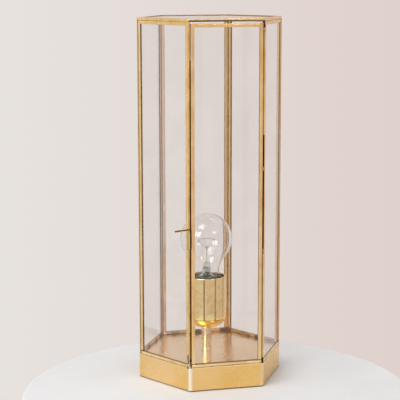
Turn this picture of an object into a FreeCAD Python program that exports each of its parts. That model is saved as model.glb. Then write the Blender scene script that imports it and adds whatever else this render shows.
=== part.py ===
"""Hexagonal brass and glass lantern table lamp, in millimetres.

The lamp stands on z = 0 with its middle on the Z axis. Its door is the side that faces -Y, the cable inlet
is in the side that faces +Y, and two of its six corners lie on the X axis. Each side is a sheet of glass in
a frame of folded U channel, called came. The door turns on a wire at the front right corner. A bent wire in
a short tube at the front left corner swings across the door to hold it shut.
"""

import FreeCAD, Part
import math
import os

from FreeCAD import Vector

# ---------------------------------------------------------------- driving sizes, in mm and degrees
# base box
ACROSS_FLATS = 150.0  # over the outer faces of the base
BASE_HEIGHT = 28.0  # tabletop to the brass floor inside the lantern
BASE_SHEET = 1.2
FLOOR_SHEET = 1.2
BASE_BEND_RADIUS = 4.0  # outer radius of the upright edges
BASE_EDGE_BEVEL = 0.4  # softened top and bottom edges
BASE_LIFT = 0.8  # the felt holds the brass this far off the table
FELT_THICK = 1.6
COVER_SHEET = 1.2
COVER_GAP = 0.4  # round the bottom cover, to the walls
PILLAR_ACROSS_FLATS = 6.0
PILLAR_INSET = 26.0  # pillar axis to the inside of the nearest wall
PILLAR_COUNT = 3
SCREW_RADIUS = 1.5
SCREW_HOLE_GAP = 0.2
SCREW_HEAD_RADIUS = 2.8
SCREW_HEAD_HEIGHT = 1.1
SCREW_LENGTH = 9.0
SCREW_SLOT_WIDTH = 0.6
SCREW_SLOT_DEPTH = 0.5
FELT_HOLE_GAP = 0.8  # round each screw head

# cable inlet in the back wall
INLET_HEIGHT = 13.0
INLET_BORE_RADIUS = 3.2
GROMMET_NECK_RADIUS = 4.6
GROMMET_FLANGE_RADIUS = 6.2
GROMMET_FLANGE_THICK = 1.5

# glass and came
GLASS_THICK = 1.9
GLASS_PLAY = 0.05  # each face of the glass to the channel that holds it
CAME_WIDTH = 4.0  # face of the channel that frames the glass
CAME_WALL = 0.7
CAME_BEVEL = 0.35  # on the folded edges of the channel
GLASS_EDGE_GAP = 0.4  # edge of the glass to the bottom of its channel
HEIGHT = 420.0  # overall
FRAME_INSET = 0.6  # the side frames stand this far inside the base's faces
CORNER_GAP = 0.1  # between neighbouring side frames at their inner edges
BEAD_DEPTH = 3.2  # solder in the outside groove of each fixed corner

# door
DOOR_PROUD = 0.4  # the closed door's face stands this far out from the side frames
DOOR_LATCH_SETBACK = 1.75  # door edge to the corner where the side faces would meet
DOOR_BOTTOM_GAP = 0.6
DOOR_TOP_GAP = 2.0
STOP_RADIUS = 1.2
STOP_BITE = 0.3  # flat on the stop where it is soldered to the front left frame
STOP_GAP = 0.3  # behind the closed door
STOP_TOP_GAP = 42.0  # the stop ends this far under the top frame

# hinge
PIN_RADIUS = 0.6
BARREL_RADIUS = 1.4
BARREL_GAP = 0.05  # running clearance on the pin
BARREL_SEAM = 1.5  # width of the solder that joins a barrel to the door
UPPER_BARREL_LENGTH = 113.5
HINGE_FROM_CORNER = 0.3  # pin to the corner where the side faces would meet, along the door
HINGE_DEPTH = 0.6  # pin behind the side frames' outer faces
HINGE_PLAY = 0.3  # between a knuckle and the barrel next to it
KNUCKLE_RADIUS = 1.1
KNUCKLE_TAB = 1.2
BOTTOM_KNUCKLE_LENGTH = 5.5
BOTTOM_KNUCKLE_LIFT = 1.3  # over the lantern's floor
LOW_KNUCKLE_LENGTH = 6.0
LOW_KNUCKLE_LIFT = 128.2  # over the lantern's floor
MIDDLE_KNUCKLE_LENGTH = 4.5
MIDDLE_KNUCKLE_DROP = 36.1  # under the upper barrel
TOP_KNUCKLE_LENGTH = 7.5
TOP_KNUCKLE_DROP = 2.0  # under the top of the door
PIN_OVERHANG = 0.6

# latch
LATCH_WIRE_RADIUS = 1.1
LATCH_TUBE_RADIUS = 1.75
LATCH_TUBE_LENGTH = 19.6
LATCH_LIFT = 137.9  # lower end of the tube, over the lantern's floor
LATCH_BORE_GAP = 0.06
LATCH_FACE_GAP = 0.35  # wire to the closed door's face when it is swung across
LATCH_SEAM_IN = 0.9  # near and far edges of the solder on the end of the front left frame
LATCH_SEAM_OUT = 2.1
LATCH_ARM_LENGTH = 18.6
LATCH_ARM_RISE = 2.8  # arm's centre line over the tube
LATCH_HEADING = 200.0  # direction that the arm points in, seen from above
LATCH_HEAD_RADIUS = 1.7
LATCH_HEAD_HEIGHT = 0.9
LATCH_HEAD_GAP = 0.3

# lamp post and brass cup
LAMP_OFFSET = 4.5  # the post stands this far left of the middle
POST_RADIUS = 6.0
POST_HEIGHT = 28.6
CUP_RADIUS = 22.5
CUP_HEIGHT = 61.0
CUP_WALL = 0.9
CUP_CORNER_RADIUS = 9.5
CUP_RIM_RADIUS = 0.9  # rolled rim
NIPPLE_RADIUS = 5.0
NIPPLE_BORE_RADIUS = 3.5
NIPPLE_TAIL = 8.0  # below the lantern's floor plate
NIPPLE_GAP = 0.15
NUT_ACROSS_FLATS = 14.0
NUT_HEIGHT = 5.0
WASHER_RADIUS = 9.0
WASHER_THICK = 1.0

# lampholder inside the cup
HOLDER_FOOT_RADIUS = 11.0
HOLDER_FOOT_HEIGHT = 18.0
HOLDER_RADIUS = 18.5
HOLDER_CAVITY_RADIUS = 12.0
HOLDER_FLOOR = 8.0  # threaded thickness over the cup's bottom
SLEEVE_HEIGHT = 36.0
SLEEVE_BORE_RADIUS = 14.2
CARRIER_THICK = 6.0
CARRIER_GAP = 0.1
SHELL_RADIUS = 13.9
SHELL_WALL = 0.4
SHELL_HEIGHT = 26.0
TERMINAL_RADIUS = 1.6
TERMINAL_SPACING = 14.0
TERMINAL_HEAD_RADIUS = 2.6
TERMINAL_HEAD_HEIGHT = 1.8
TERMINAL_LENGTH = 4.0
TONGUE_WIDTH = 5.0
TONGUE_THICK = 0.5
TONGUE_FOOT = 3.5
TONGUE_SLOPE = 5.0
TONGUE_TIP = 4.0
CONTACT_GAP = 0.3  # tongue to the bulb's foot contact

# bulb
BULB_RADIUS = 30.0
BULB_LENGTH = 105.0  # foot contact to the top of the glass
BULB_SKIN = 0.8
BULB_STAND = 5.1  # foot contact over the contact carrier
NECK_RADIUS = 15.0
NECK_TOP = 36.0  # over the foot contact, as are the next heights of the bulb
NECK_LOW = 30.0
CAP_TOP = 25.5
CAP_RADIUS = 13.1
CAP_WALL = 0.4
CAP_SKIRT = 21.0
CAP_LIP_DROP = 1.6
CAP_LIP_RADIUS = 9.5
SEAT_DEPTH = 4.0  # of the glass inside the cap
FOOT_RADIUS = 5.0  # narrow end of the glass insulator
CONTACT_RADIUS = 4.4
CONTACT_THICK = 1.2
CONTACT_BEVEL = 0.6
STEM_LOW = 29.0
STEM_WALL = 1.2
STEM_TUBE_LOW = 36.0
STEM_TUBE_RADIUS = 4.6
PRESS_LOW = 40.0
PRESS_HEIGHT = 7.0
PRESS_WIDTH = 9.6
PRESS_THICK = 3.4
PRESS_EDGE_RADIUS = 1.5
ROD_RADIUS = 0.9
ROD_TOP = 64.0
BUTTON_RADIUS = 1.9
LEAD_RADIUS = 0.35
LEAD_SPACING = 6.0
FILAMENT_HEIGHT = 73.0
FILAMENT_ARC_RADIUS = 10.0
FILAMENT_RADIUS = 0.35
FILAMENT_GAP_ANGLE = 110.0
SUPPORT_RADIUS = 0.25
SUPPORT_COUNT = 3

# flats that stand in for round surfaces on which nothing turns
TURNED_SIDES = 36  # staves of a large turned piece
SMALL_SIDES = 16  # and of a small one
ARC_STEP = 18.0  # along a curved outline
SMALL_ARC_STEP = 45.0  # along a small rim or ball

# ---------------------------------------------------------------- places that follow from them
X_AXIS = Vector(1, 0, 0)
Y_AXIS = Vector(0, 1, 0)
Z_AXIS = Vector(0, 0, 1)
ORIGIN = Vector(0, 0, 0)
HEADINGS = BACK_RIGHT, BACK, BACK_LEFT, FRONT_LEFT, FRONT, FRONT_RIGHT = 30, 90, 150, 210, 270, 330
SIDE_NAMES = {
    FRONT_LEFT: "front_left",
    BACK_LEFT: "back_left",
    BACK: "back",
    BACK_RIGHT: "back_right",
    FRONT_RIGHT: "front_right",
}
FIXED_CORNERS = (0, 60, 120, 180)
HALF_SIDE_ANGLE = math.radians(30)
REACH = 2 * ACROSS_FLATS

INNER_APOTHEM = ACROSS_FLATS / 2 - BASE_SHEET
FLOOR_UNDERSIDE = BASE_HEIGHT - FLOOR_SHEET
COVER_TOP = FELT_THICK + COVER_SHEET
PILLAR_CIRCLE = INNER_APOTHEM - PILLAR_INSET

FACE_APOTHEM = ACROSS_FLATS / 2 - FRAME_INSET
FACE_SIDE = 2 * FACE_APOTHEM * math.tan(HALF_SIDE_ANGLE)
GLASS_INSET = CAME_WALL + GLASS_PLAY
CAME_THICK = GLASS_THICK + 2 * GLASS_INSET
FRAME_TOP = HEIGHT - CAME_THICK
FRAME_HEIGHT = FRAME_TOP - BASE_HEIGHT
# A side frame ends this far from its corner, so that the inner edges of two neighbours nearly touch.
CORNER_SETBACK = (CAME_THICK / 2 + CORNER_GAP / 2) / math.cos(HALF_SIDE_ANGLE)
FRAME_WIDTH = FACE_SIDE - 2 * CORNER_SETBACK
RIGHT_CORNER = Vector(FACE_SIDE / 2, -FACE_APOTHEM, 0)
LEFT_CORNER = Vector(-FACE_SIDE / 2, -FACE_APOTHEM, 0)

HINGE = RIGHT_CORNER + Vector(-HINGE_FROM_CORNER, HINGE_DEPTH, 0)
DOOR_RIGHT = HINGE.x - BARREL_RADIUS
DOOR_LEFT = LEFT_CORNER.x + DOOR_LATCH_SETBACK
DOOR_WIDTH = DOOR_RIGHT - DOOR_LEFT
DOOR_BOTTOM = BASE_HEIGHT + DOOR_BOTTOM_GAP
DOOR_TOP = FRAME_TOP - DOOR_TOP_GAP
DOOR_FACE = -FACE_APOTHEM - DOOR_PROUD
BOTTOM_KNUCKLE = BASE_HEIGHT + BOTTOM_KNUCKLE_LIFT
LOW_KNUCKLE = BASE_HEIGHT + LOW_KNUCKLE_LIFT
TOP_KNUCKLE = DOOR_TOP - TOP_KNUCKLE_DROP - TOP_KNUCKLE_LENGTH
LOWER_BARREL_LOW = BOTTOM_KNUCKLE + BOTTOM_KNUCKLE_LENGTH + HINGE_PLAY
LOWER_BARREL_TOP = LOW_KNUCKLE - HINGE_PLAY
UPPER_BARREL_TOP = TOP_KNUCKLE - HINGE_PLAY
UPPER_BARREL_LOW = UPPER_BARREL_TOP - UPPER_BARREL_LENGTH
MIDDLE_KNUCKLE = UPPER_BARREL_LOW - MIDDLE_KNUCKLE_DROP - MIDDLE_KNUCKLE_LENGTH

# The latch turns on the bisector of its corner, just far enough out for its wire to pass the door's face.
LATCH_OUT = (DOOR_PROUD + LATCH_FACE_GAP + LATCH_WIRE_RADIUS) / math.cos(HALF_SIDE_ANGLE)
LATCH = LEFT_CORNER + Vector(LEFT_CORNER).normalize() * LATCH_OUT
LATCH_LOW = BASE_HEIGHT + LATCH_LIFT
LATCH_TOP = LATCH_LOW + LATCH_TUBE_LENGTH

LAMP = Vector(-LAMP_OFFSET, 0, 0)
CUP_LOW = BASE_HEIGHT + POST_HEIGHT
HOLDER_LOW = CUP_LOW + CUP_WALL
SLEEVE_LOW = HOLDER_LOW + HOLDER_FOOT_HEIGHT
CARRIER_TOP = SLEEVE_LOW + CARRIER_THICK
BULB_FOOT = LAMP + Z_AXIS * (CARRIER_TOP + BULB_STAND)
BULB_CENTRE = BULB_LENGTH - BULB_RADIUS
SEAT_RADIUS = CAP_RADIUS - CAP_WALL


# ---------------------------------------------------------------- shapes used more than once
def cylinder(radius, low, high, centre=ORIGIN):
    """Upright round bar from height low to height high."""
    return Part.makeCylinder(radius, high - low, Vector(centre.x, centre.y, low), Z_AXIS)


def prism(corners, low, high):
    """Upright prism on a flat outline of (x, y) corners."""
    points = [Vector(x, y, low) for x, y in corners]
    return Part.Face(Part.makePolygon(points + points[:1])).extrude(Z_AXIS * (high - low))


def staved(radius, low, high, centre=ORIGIN, sides=SMALL_SIDES):
    """Upright bar with flat staves, whose corners lie on this radius."""
    angles = [2 * math.pi * i / sides for i in range(sides)]
    corners = [(centre.x + radius * math.cos(a), centre.y + radius * math.sin(a)) for a in angles]
    return prism(corners, low, high)


def hexagon(apothem, low, high, centre=ORIGIN):
    """Upright hexagonal prism whose flat faces are apothem away from its axis."""
    return staved(apothem / math.cos(HALF_SIDE_ANGLE), low, high, centre, 6)


def turned(outline, centre=ORIGIN, sides=TURNED_SIDES):
    """Turned solid with flat staves, from a closed outline of (radius, height) points."""
    angles = [2 * math.pi * i / sides for i in range(sides + 1)]
    faces = []
    for (low_radius, low), (high_radius, high) in zip(outline, outline[1:] + outline[:1]):
        for left, right in zip(angles, angles[1:]):
            corners = [(low_radius, low, left), (low_radius, low, right)] if low_radius else [(0, low, 0)]
            if high_radius:
                corners += [(high_radius, high, right), (high_radius, high, left)]
            else:
                corners += [(0, high, 0)]
            if len(corners) > 2:
                points = [centre + Vector(r * math.cos(a), r * math.sin(a), z) for r, z, a in corners]
                faces.append(Part.Face(Part.makePolygon(points + points[:1])))
    solid = Part.makeSolid(Part.makeShell(faces))
    return solid if solid.Volume > 0 else solid.reversed()


def arc_points(centre, radius, start, end, step=ARC_STEP):
    """Points (radius, height) along an arc, from one angle to the other, in degrees."""
    count = math.ceil(abs(end - start) / step)
    angles = [math.radians(start + (end - start) * i / count) for i in range(count + 1)]
    return [(centre[0] + radius * math.cos(a), centre[1] + radius * math.sin(a)) for a in angles]


def to_side(shape, heading):
    """Carry a shape modelled on the front side round to the side that faces the heading."""
    return shape.rotated(ORIGIN, Z_AXIS, heading - FRONT)


def mitred_sides(ring):
    """Cut a hexagonal ring into its six sides along the lines through its corners."""
    half_width = REACH * math.tan(HALF_SIDE_ANGLE)
    sector = prism([(0, 0), (-half_width, -REACH), (half_width, -REACH)], 0, HEIGHT)
    return Part.makeCompound([ring.common(to_side(sector, heading)) for heading in HEADINGS])


def rod(start, end, radius):
    return Part.makeCylinder(radius, (end - start).Length, start, end - start)


def save(name, shape):
    """Write one sub-part as a group of closed, valid solids."""
    solids = shape.Solids
    if not solids or not all(solid.isValid() for solid in solids):
        raise ValueError(name + " is not a valid solid")
    whole = solids[0] if len(solids) == 1 else Part.makeCompound(solids)
    whole.exportStep("parts/" + name + ".step")


# ---------------------------------------------------------------- base
def base_wall():
    """Six mitred brass plates with softened edges. The back one has the hole for the cable inlet."""
    outer = hexagon(ACROSS_FLATS / 2, BASE_LIFT, BASE_HEIGHT)
    upright = [edge for edge in outer.Edges if abs(edge.tangentAt(edge.FirstParameter).z) > 0.5]
    outer = outer.makeFillet(BASE_BEND_RADIUS, upright)
    level = [edge for edge in outer.Edges if edge.BoundBox.ZLength < BASE_EDGE_BEVEL]
    outer = outer.makeChamfer(BASE_EDGE_BEVEL, level)
    ring = outer.cut(hexagon(INNER_APOTHEM, 0, HEIGHT))
    return mitred_sides(ring.cut(to_inlet(staved(GROMMET_NECK_RADIUS, 0, REACH))))


def floor_plate():
    """Polished brass sheet inside the walls, with the hole for the lamp's threaded tube."""
    plate = hexagon(INNER_APOTHEM, FLOOR_UNDERSIDE, BASE_HEIGHT)
    return plate.cut(staved(NIPPLE_RADIUS + NIPPLE_GAP, 0, HEIGHT, LAMP, TURNED_SIDES))


def pillar_places():
    """Axes of the pillars that the bottom cover is screwed to, clear of the cable's way in."""
    angles = [math.radians(FRONT + 360 * i / PILLAR_COUNT) for i in range(PILLAR_COUNT)]
    return [Vector(math.cos(a), math.sin(a), 0) * PILLAR_CIRCLE for a in angles]


def cover_pillars():
    """Hexagonal pillars under the floor, each bored for its screw."""
    screw_end = FELT_THICK + SCREW_LENGTH
    posts = []
    for place in pillar_places():
        post = hexagon(PILLAR_ACROSS_FLATS / 2, COVER_TOP, FLOOR_UNDERSIDE, place)
        posts.append(post.cut(staved(SCREW_RADIUS, COVER_TOP, screw_end, place)))
    return Part.makeCompound(posts)


def cover_screws():
    screws = []
    for place in pillar_places():
        head_low = FELT_THICK - SCREW_HEAD_HEIGHT
        head = staved(SCREW_HEAD_RADIUS, head_low, FELT_THICK, place)
        shank = staved(SCREW_RADIUS, FELT_THICK, FELT_THICK + SCREW_LENGTH, place)
        corner = place + Vector(-SCREW_HEAD_RADIUS, -SCREW_SLOT_WIDTH / 2, head_low)
        slot = Part.makeBox(2 * SCREW_HEAD_RADIUS, SCREW_SLOT_WIDTH, SCREW_SLOT_DEPTH, corner)
        screws.append(head.fuse(shank).cut(slot))
    return Part.makeCompound(screws)


def bottom_cover():
    cover = hexagon(INNER_APOTHEM - COVER_GAP, FELT_THICK, COVER_TOP)
    return cover.cut([staved(SCREW_RADIUS + SCREW_HOLE_GAP, 0, HEIGHT, place) for place in pillar_places()])


def felt_pad():
    pad = hexagon(INNER_APOTHEM - COVER_GAP, 0, FELT_THICK)
    hole_radius = SCREW_HEAD_RADIUS + FELT_HOLE_GAP
    return pad.cut([staved(hole_radius, 0, HEIGHT, place) for place in pillar_places()])


def cable_grommet():
    """Rubber bush with a flange on each face of the back wall."""
    wall_inside = INNER_APOTHEM
    wall_outside = ACROSS_FLATS / 2
    inner_end = wall_inside - GROMMET_FLANGE_THICK
    outer_end = wall_outside + GROMMET_FLANGE_THICK
    outline = [
        (0, inner_end),
        (GROMMET_FLANGE_RADIUS, inner_end),
        (GROMMET_FLANGE_RADIUS, wall_inside),
        (GROMMET_NECK_RADIUS, wall_inside),
        (GROMMET_NECK_RADIUS, wall_outside),
        (GROMMET_FLANGE_RADIUS, wall_outside),
        (GROMMET_FLANGE_RADIUS, outer_end),
        (0, outer_end),
    ]
    bush = turned(outline, sides=SMALL_SIDES).cut(cylinder(INLET_BORE_RADIUS, inner_end, outer_end))
    return to_inlet(bush)


def to_inlet(shape):
    """Lay a shape modelled round the Z axis along the inlet's axis."""
    return shape.rotated(ORIGIN, X_AXIS, -90).translated(Z_AXIS * INLET_HEIGHT)


# ---------------------------------------------------------------- glazed sides, door and top
def came_frame(width, height):
    """Four mitred bars of U channel, standing on z = 0 with their outer face at y = 0."""
    outer = Part.makeBox(width, CAME_THICK, height, Vector(-width / 2, 0, 0))
    folds = [edge for edge in outer.Edges if edge.BoundBox.YLength < CAME_THICK / 2]
    outer = outer.makeChamfer(CAME_BEVEL, folds)
    opening_corner = Vector(-width / 2 + CAME_WIDTH, 0, CAME_WIDTH)
    opening = Part.makeBox(width - 2 * CAME_WIDTH, CAME_THICK, height - 2 * CAME_WIDTH, opening_corner)
    groove_corner = Vector(-width / 2 + CAME_WALL, CAME_WALL, CAME_WALL)
    groove_depth = CAME_THICK - 2 * CAME_WALL
    groove = Part.makeBox(width - 2 * CAME_WALL, groove_depth, height - 2 * CAME_WALL, groove_corner)
    channel = outer.cut([opening, groove])
    side, inside, top = width / 2, width / 2 - CAME_WIDTH, height - CAME_WIDTH
    bars = [
        [(-side, 0), (side, 0), (inside, CAME_WIDTH), (-inside, CAME_WIDTH)],
        [(-side, height), (side, height), (inside, top), (-inside, top)],
        [(-side, 0), (-side, height), (-inside, top), (-inside, CAME_WIDTH)],
        [(side, 0), (side, height), (inside, top), (inside, CAME_WIDTH)],
    ]
    pieces = []
    for corners in bars:
        points = [Vector(x, 0, z) for x, z in corners]
        bar = Part.Face(Part.makePolygon(points + points[:1])).extrude(Y_AXIS * CAME_THICK)
        pieces.append(channel.common(bar))
    return Part.makeCompound(pieces)


def pane(width, height):
    """Sheet of glass for a frame of this outer width and height, in the frame's own place."""
    margin = CAME_WALL + GLASS_EDGE_GAP
    corner = Vector(-width / 2 + margin, GLASS_INSET, margin)
    return Part.makeBox(width - 2 * margin, GLASS_THICK, height - 2 * margin, corner)


def on_side(shape, heading):
    """Stand a frame or pane on the base at the side that faces the heading."""
    return to_side(shape.translated(Vector(0, -FACE_APOTHEM, BASE_HEIGHT)), heading)


def on_door(shape):
    middle = (DOOR_LEFT + DOOR_RIGHT) / 2
    return shape.translated(Vector(middle, DOOR_FACE, DOOR_BOTTOM))


def corner_solder():
    """Bead of solder in the outside groove of each corner where two side frames meet."""
    # A hexagon's corners are as far from its middle as its sides are long.
    groove_depth = CORNER_SETBACK * math.sin(HALF_SIDE_ANGLE) + CAME_THICK * math.cos(HALF_SIDE_ANGLE)
    root = FACE_SIDE - groove_depth
    root_half = CORNER_GAP / 2
    mouth_half = root_half + BEAD_DEPTH * math.tan(HALF_SIDE_ANGLE)
    mouth = root + BEAD_DEPTH
    outline = [(root, -root_half), (mouth, -mouth_half), (mouth, mouth_half), (root, root_half)]
    bead = prism(outline, BASE_HEIGHT, FRAME_TOP)
    return Part.makeCompound([bead.rotated(ORIGIN, Z_AXIS, angle) for angle in FIXED_CORNERS])


def top_frame():
    """Six mitred bars of the same channel round the level glass on top."""
    outer = hexagon(FACE_APOTHEM, FRAME_TOP, HEIGHT)
    level = [edge for edge in outer.Edges if edge.BoundBox.ZLength < CAME_BEVEL]
    outer = outer.makeChamfer(CAME_BEVEL, level)
    opening = hexagon(FACE_APOTHEM - CAME_WIDTH, FRAME_TOP, HEIGHT)
    groove = hexagon(FACE_APOTHEM - CAME_WALL, FRAME_TOP + CAME_WALL, HEIGHT - CAME_WALL)
    return mitred_sides(outer.cut([opening, groove]))


def top_glass():
    apothem = FACE_APOTHEM - CAME_WALL - GLASS_EDGE_GAP
    return hexagon(apothem, FRAME_TOP + GLASS_INSET, HEIGHT - GLASS_INSET)


def door_stop():
    """Wire behind the latch side of the door, soldered to the inside of the front left frame."""
    y = DOOR_FACE + CAME_THICK + STOP_GAP + STOP_RADIUS
    # The front left side's inward direction is (cos 30, sin 30), measured from its corner with the door.
    inward = CAME_THICK + STOP_RADIUS - STOP_BITE
    across = inward - (y - LEFT_CORNER.y) * math.sin(HALF_SIDE_ANGLE)
    x = LEFT_CORNER.x + across / math.cos(HALF_SIDE_ANGLE)
    wire = cylinder(STOP_RADIUS, BASE_HEIGHT, FRAME_TOP - STOP_TOP_GAP, Vector(x, y, 0))
    frame_space = Part.makeBox(FACE_SIDE, CAME_THICK, FRAME_HEIGHT, Vector(-FACE_SIDE / 2, 0, 0))
    return wire.cut(on_side(frame_space, FRONT_LEFT))


# ---------------------------------------------------------------- hinge
def knuckle_spans():
    return [
        (BOTTOM_KNUCKLE, BOTTOM_KNUCKLE + BOTTOM_KNUCKLE_LENGTH),
        (LOW_KNUCKLE, LOW_KNUCKLE + LOW_KNUCKLE_LENGTH),
        (MIDDLE_KNUCKLE, MIDDLE_KNUCKLE + MIDDLE_KNUCKLE_LENGTH),
        (TOP_KNUCKLE, TOP_KNUCKLE + TOP_KNUCKLE_LENGTH),
    ]


def hinge_pin():
    return cylinder(PIN_RADIUS, BASE_HEIGHT, TOP_KNUCKLE + TOP_KNUCKLE_LENGTH + PIN_OVERHANG, HINGE)


def hinge_knuckles():
    """Rings round the pin, each with a tab to the end of the front right frame."""
    along = Vector(math.cos(math.radians(60)), math.sin(math.radians(60)), 0)
    reach = CORNER_SETBACK - (HINGE - RIGHT_CORNER).dot(along)
    knuckles = []
    for low, high in knuckle_spans():
        tab = Part.makeBox(reach, KNUCKLE_TAB, high - low, HINGE + Vector(0, -KNUCKLE_TAB / 2, low))
        tab.rotate(HINGE, Z_AXIS, 60)
        knuckle = staved(KNUCKLE_RADIUS, low, high, HINGE).fuse(tab).removeSplitter()
        knuckles.append(knuckle.cut(cylinder(PIN_RADIUS, low, high, HINGE)))
    return Part.makeCompound(knuckles)


def hinge_barrel(low, high):
    """Tube that turns on the pin, with the solder seam that joins it to the door's edge."""
    seam_corner = Vector(DOOR_RIGHT, HINGE.y - BARREL_SEAM / 2, low)
    seam = Part.makeBox(HINGE.x - DOOR_RIGHT, BARREL_SEAM, high - low, seam_corner)
    barrel = cylinder(BARREL_RADIUS, low, high, HINGE).fuse(seam).removeSplitter()
    return barrel.cut(cylinder(PIN_RADIUS + BARREL_GAP, low, high, HINGE))


# ---------------------------------------------------------------- latch
def latch_tube():
    """Short tube with the solder that joins it to the end of the front left frame."""
    along = Vector(-math.cos(math.radians(60)), math.sin(math.radians(60)), 0)
    inward = Vector(math.cos(HALF_SIDE_ANGLE), math.sin(HALF_SIDE_ANGLE), 0)
    end = LEFT_CORNER + along * CORNER_SETBACK
    near = end + inward * LATCH_SEAM_IN
    far = end + inward * LATCH_SEAM_OUT
    seam = prism([(LATCH.x, LATCH.y), (near.x, near.y), (far.x, far.y)], LATCH_LOW, LATCH_TOP)
    body = cylinder(LATCH_TUBE_RADIUS, LATCH_LOW, LATCH_TOP, LATCH).fuse(seam).removeSplitter()
    return body.cut(cylinder(LATCH_WIRE_RADIUS + LATCH_BORE_GAP, LATCH_LOW, LATCH_TOP, LATCH))


def latch_hook():
    """Wire that turns in the tube: a head below it, and above it a level arm on a sharp bend."""
    head_top = LATCH_LOW - LATCH_HEAD_GAP
    arm_height = LATCH_TOP + LATCH_ARM_RISE
    head = cylinder(LATCH_HEAD_RADIUS, head_top - LATCH_HEAD_HEIGHT, head_top, LATCH)
    shank = cylinder(LATCH_WIRE_RADIUS, head_top, arm_height + LATCH_WIRE_RADIUS, LATCH)
    corner = LATCH + Z_AXIS * arm_height
    arm = rod(corner - X_AXIS * LATCH_WIRE_RADIUS, corner + X_AXIS * LATCH_ARM_LENGTH, LATCH_WIRE_RADIUS)
    # What each leg has past the bend is cut off where the other one's ends.
    half = 2 * LATCH_WIRE_RADIUS
    above = [Vector(-half, 0, -half), Vector(half, 0, half), Vector(-half, 0, half)]
    wedge = Part.Face(Part.makePolygon(above + above[:1])).extrude(Y_AXIS * 2 * half)
    wedge.translate(corner - Y_AXIS * half)
    hook = head.fuse([shank.cut(wedge), arm.cut(wedge)])
    return hook.rotated(LATCH, Z_AXIS, LATCH_HEADING)


# ---------------------------------------------------------------- post, cup and lampholder
def turned_tube(radius, bore, low, high):
    """Tube round the lamp's axis."""
    return turned([(radius, low), (radius, high), (bore, high), (bore, low)], LAMP)


def lamp_post():
    return turned_tube(POST_RADIUS, NIPPLE_RADIUS + NIPPLE_GAP, BASE_HEIGHT, CUP_LOW)


def threaded_tube():
    """Hollow threaded tube that clamps the holder, cup and post down on the floor plate."""
    low = FLOOR_UNDERSIDE - NIPPLE_TAIL
    return turned_tube(NIPPLE_RADIUS, NIPPLE_BORE_RADIUS, low, HOLDER_LOW + HOLDER_FLOOR)


def post_washer():
    low = FLOOR_UNDERSIDE - WASHER_THICK
    return turned_tube(WASHER_RADIUS, NIPPLE_RADIUS + NIPPLE_GAP, low, FLOOR_UNDERSIDE)


def post_nut():
    top = FLOOR_UNDERSIDE - WASHER_THICK
    nut = hexagon(NUT_ACROSS_FLATS / 2, top - NUT_HEIGHT, top, LAMP)
    return nut.cut(staved(NIPPLE_RADIUS, 0, HEIGHT, LAMP, TURNED_SIDES))


def holder_cup():
    """Spun brass cup, open at the top, with a rounded bottom edge and a rolled rim."""
    hole = NIPPLE_RADIUS + NIPPLE_GAP
    corner = (CUP_RADIUS - CUP_CORNER_RADIUS, CUP_LOW + CUP_CORNER_RADIUS)
    rim = (CUP_RADIUS - CUP_RIM_RADIUS, CUP_LOW + CUP_HEIGHT - CUP_RIM_RADIUS)
    outline = [(hole, CUP_LOW)]
    outline += arc_points(corner, CUP_CORNER_RADIUS, -90, 0)
    outline += arc_points(rim, CUP_RIM_RADIUS, 0, 180, SMALL_ARC_STEP)
    outline += [(CUP_RADIUS - CUP_WALL, rim[1])]
    outline += arc_points(corner, CUP_CORNER_RADIUS - CUP_WALL, 0, -90)
    outline += [(hole, CUP_LOW + CUP_WALL)]
    return turned(outline, LAMP)


def holder_foot():
    """Moulded foot that screws on to the threaded tube, hollow above for the terminals."""
    floor = HOLDER_LOW + HOLDER_FLOOR
    outline = [
        (NIPPLE_RADIUS, HOLDER_LOW),
        (HOLDER_FOOT_RADIUS, HOLDER_LOW),
        (HOLDER_RADIUS, floor),
        (HOLDER_RADIUS, SLEEVE_LOW),
        (HOLDER_CAVITY_RADIUS, SLEEVE_LOW),
        (HOLDER_CAVITY_RADIUS, floor),
        (NIPPLE_RADIUS, floor),
    ]
    return turned(outline, LAMP)


def holder_sleeve():
    return turned_tube(HOLDER_RADIUS, SLEEVE_BORE_RADIUS, SLEEVE_LOW, SLEEVE_LOW + SLEEVE_HEIGHT)


def terminal_places():
    return [LAMP + Y_AXIS * (side * TERMINAL_SPACING / 2) for side in (-1, 1)]


def contact_carrier():
    """Ceramic disc on the foot's rim that holds the contacts."""
    disc = staved(SLEEVE_BORE_RADIUS - CARRIER_GAP, SLEEVE_LOW, CARRIER_TOP, LAMP, TURNED_SIDES)
    bore_top = SLEEVE_LOW + TERMINAL_LENGTH
    return disc.cut([staved(TERMINAL_RADIUS, SLEEVE_LOW, bore_top, place) for place in terminal_places()])


def terminal_screws():
    screws = []
    for place in terminal_places():
        head = staved(TERMINAL_HEAD_RADIUS, SLEEVE_LOW - TERMINAL_HEAD_HEIGHT, SLEEVE_LOW, place)
        shank = staved(TERMINAL_RADIUS, SLEEVE_LOW, SLEEVE_LOW + TERMINAL_LENGTH, place)
        screws.append(head.fuse(shank))
    return Part.makeCompound(screws)


def screw_shell():
    return turned_tube(SHELL_RADIUS, SHELL_RADIUS - SHELL_WALL, CARRIER_TOP, CARRIER_TOP + SHELL_HEIGHT)


def contact_tongue():
    """Sprung strip from the carrier up to just under the bulb's foot contact."""
    rise = BULB_STAND - CONTACT_GAP - TONGUE_THICK
    start = TONGUE_TIP / 2 - TONGUE_TIP - TONGUE_SLOPE - TONGUE_FOOT
    line = [(start, 0), (start + TONGUE_FOOT, 0), (-TONGUE_TIP / 2, rise), (TONGUE_TIP / 2, rise)]
    outline = line + [(x, z + TONGUE_THICK) for x, z in reversed(line)]
    corner = LAMP + Vector(0, -TONGUE_WIDTH / 2, CARRIER_TOP)
    points = [corner + Vector(x, 0, z) for x, z in outline]
    return Part.Face(Part.makePolygon(points + points[:1])).extrude(Y_AXIS * TONGUE_WIDTH)


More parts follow.
